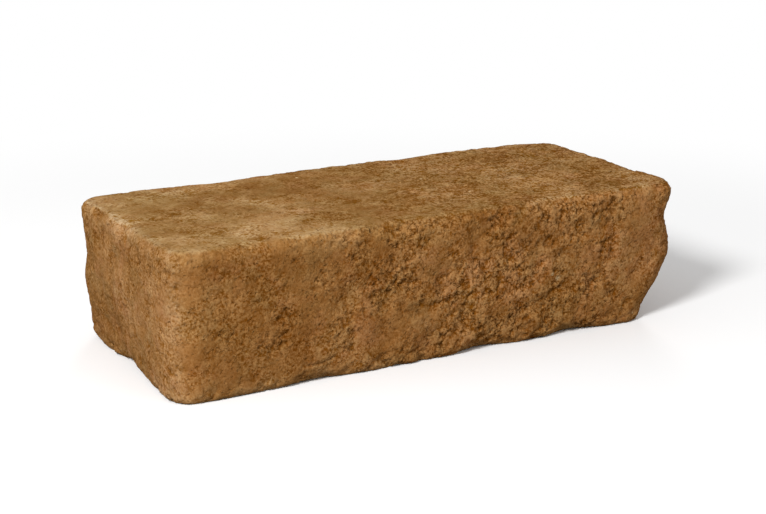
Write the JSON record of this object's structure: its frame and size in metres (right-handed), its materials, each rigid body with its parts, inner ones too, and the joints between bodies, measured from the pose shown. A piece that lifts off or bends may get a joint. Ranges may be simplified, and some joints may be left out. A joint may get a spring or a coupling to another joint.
{
  "type": "stacking block",
  "caption": "Solid rectangular walling block with tumbled, worn arrises, rough faces, a slanted lower end and flat beds for dry stacking.",
  "frame": {"origin": "on the lower bed, under the middle of the block", "axes": "+X along the length towards the slanted end, the front face looks along -Y, +Z from the lower bed to the upper bed"},
  "size_m": [0.4, 0.175, 0.1],
  "materials": {
    "tumbled_concrete": "through-coloured dry-cast concrete, rough and matt, brown with a buff bloom on the arrises"
  },
  "bodies": {
    "root": {"block": "tumbled_concrete"}
  },
  "joints": []
}
